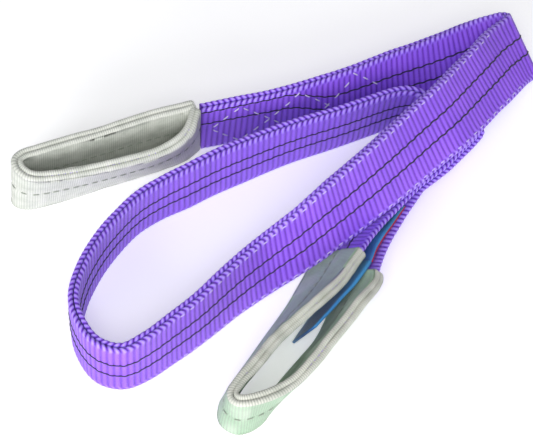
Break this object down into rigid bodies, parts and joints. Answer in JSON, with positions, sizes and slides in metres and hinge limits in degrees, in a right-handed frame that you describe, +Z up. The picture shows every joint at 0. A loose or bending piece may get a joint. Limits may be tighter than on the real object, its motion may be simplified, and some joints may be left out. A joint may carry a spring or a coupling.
{
  "type": "flat web sling",
  "caption": "Two-ply flat web lifting sling with a sleeved soft eye at each end and a sewn-in label, lying coiled on its edge.",
  "frame": {"origin": "middle of the coil on the surface that it lies on", "axes": "+Z up, +X along the coil's longest extent, +Y to the rear strand"},
  "size_m": [0.2318, 0.2116, 0.0461],
  "materials": {
    "webbing": "ribbed woven polyester, violet",
    "sleeve": "woven wear sleeve, off-white",
    "thread": "sewing thread, pale",
    "label": "woven label, blue, blank"
  },
  "bodies": {
    "root": {"front_edge_stitching": "thread", "front_strand_left_ply": "webbing", "front_strand_right_ply": "webbing", "hidden_bend_left_ply": "webbing", "hidden_bend_right_ply": "webbing", "label_root": "label", "left_bend_left_ply": "webbing", "left_bend_right_ply": "webbing", "middle_strand_left_ply": "webbing", "middle_strand_right_ply": "webbing", "rear_bend_left_ply": "webbing", "rear_bend_right_ply": "webbing", "throat_lower_ply": "webbing", "throat_splice_stitching": "thread", "throat_strand_left_ply": "webbing", "throat_strand_right_ply": "webbing", "throat_upper_ply": "webbing"},
    "rear": {"rear_strand_right_ply": "webbing", "rear_strand_left_ply": "webbing", "rear_splice_stitching": "thread"},
    "eye_1": {"eye_1_sleeve_inner": "sleeve", "eye_1_sleeve_outer": "sleeve", "eye_1_sleeve_stitching": "thread", "eye_1_webbing": "webbing"},
    "eye_2": {"eye_2_sleeve_inner": "sleeve", "eye_2_sleeve_outer": "sleeve", "eye_2_sleeve_stitching": "thread", "eye_2_webbing": "webbing"},
    "label": {"label_front_leaf": "label", "label_back_leaf": "label"}
  },
  "joints": [
    {"name": "rear_flex", "type": "hinge", "parent": "root", "child": "rear", "pos_m": [0.0497, 0.0762, 0.0155], "axis": [0, 0, -1], "range_deg": [0, 30]},
    {"name": "eye_1_flex", "type": "hinge", "parent": "rear", "child": "eye_1", "pos_m": [-0.0363, 0.0495, 0.0155], "axis": [0, 0, -1], "range_deg": [0, 40]},
    {"name": "eye_2_flex", "type": "hinge", "parent": "root", "child": "eye_2", "pos_m": [0.0292, -0.0223, 0.013], "axis": [-0.5417, 0.4545, -0.7071], "range_deg": [0, 6], "stiffness_Nm_per_rad": 0.5},
    {"name": "label_flap", "type": "hinge", "parent": "eye_2", "child": "label", "pos_m": [0.0316, -0.0229, 0.014], "axis": [-0.5417, 0.4545, -0.7071], "range_deg": [-1, 2], "stiffness_Nm_per_rad": 0.02}
  ]
}
